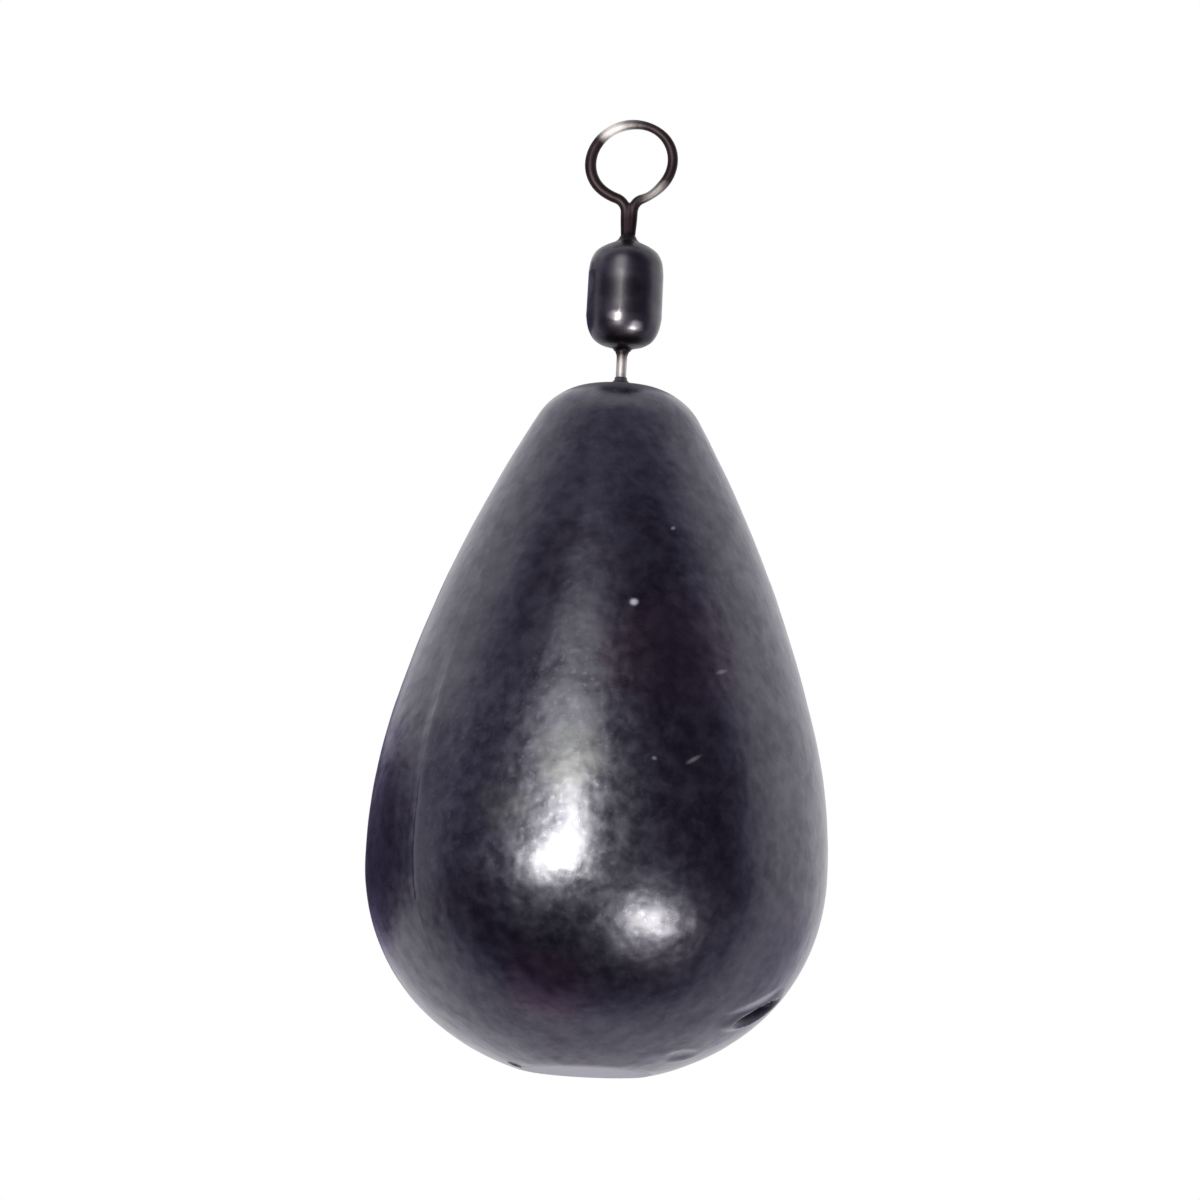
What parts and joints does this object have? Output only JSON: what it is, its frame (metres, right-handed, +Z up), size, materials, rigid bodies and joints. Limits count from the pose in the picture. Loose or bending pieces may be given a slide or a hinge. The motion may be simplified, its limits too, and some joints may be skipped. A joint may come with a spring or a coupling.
{
  "type": "fishing sinker",
  "caption": "Pear-shaped cast lead sinker with a barrel swivel set in its crown, so that the wire eye for the line turns freely.",
  "frame": {"origin": "middle of the small flat under the lead where the casting gate was trimmed, which is the lowest point of the part", "axes": "+Z up the swivel's axis; the pictured side faces -Y, with +X to its right; the line eye's loop lies in the XZ plane"},
  "size_m": [0.024, 0.024, 0.0501],
  "materials": {
    "lead": "dark tarnished lead as cast, with a soft shine",
    "barrel": "glossy black",
    "wire": "dark plated wire, polished where it is worn"
  },
  "bodies": {
    "lead": {"lead_body": "lead", "lower_eye": "wire"},
    "barrel": {"swivel_barrel": "barrel"},
    "eye": {"upper_eye": "wire"}
  },
  "joints": [
    {"name": "barrel_spin", "type": "hinge", "parent": "lead", "child": "barrel", "pos_m": [0, 0, 0.04074], "axis": [0, 0, 1], "continuous": true},
    {"name": "eye_spin", "type": "hinge", "parent": "barrel", "child": "eye", "pos_m": [0, 0, 0.04074], "axis": [0, 0, 1], "continuous": true}
  ]
}
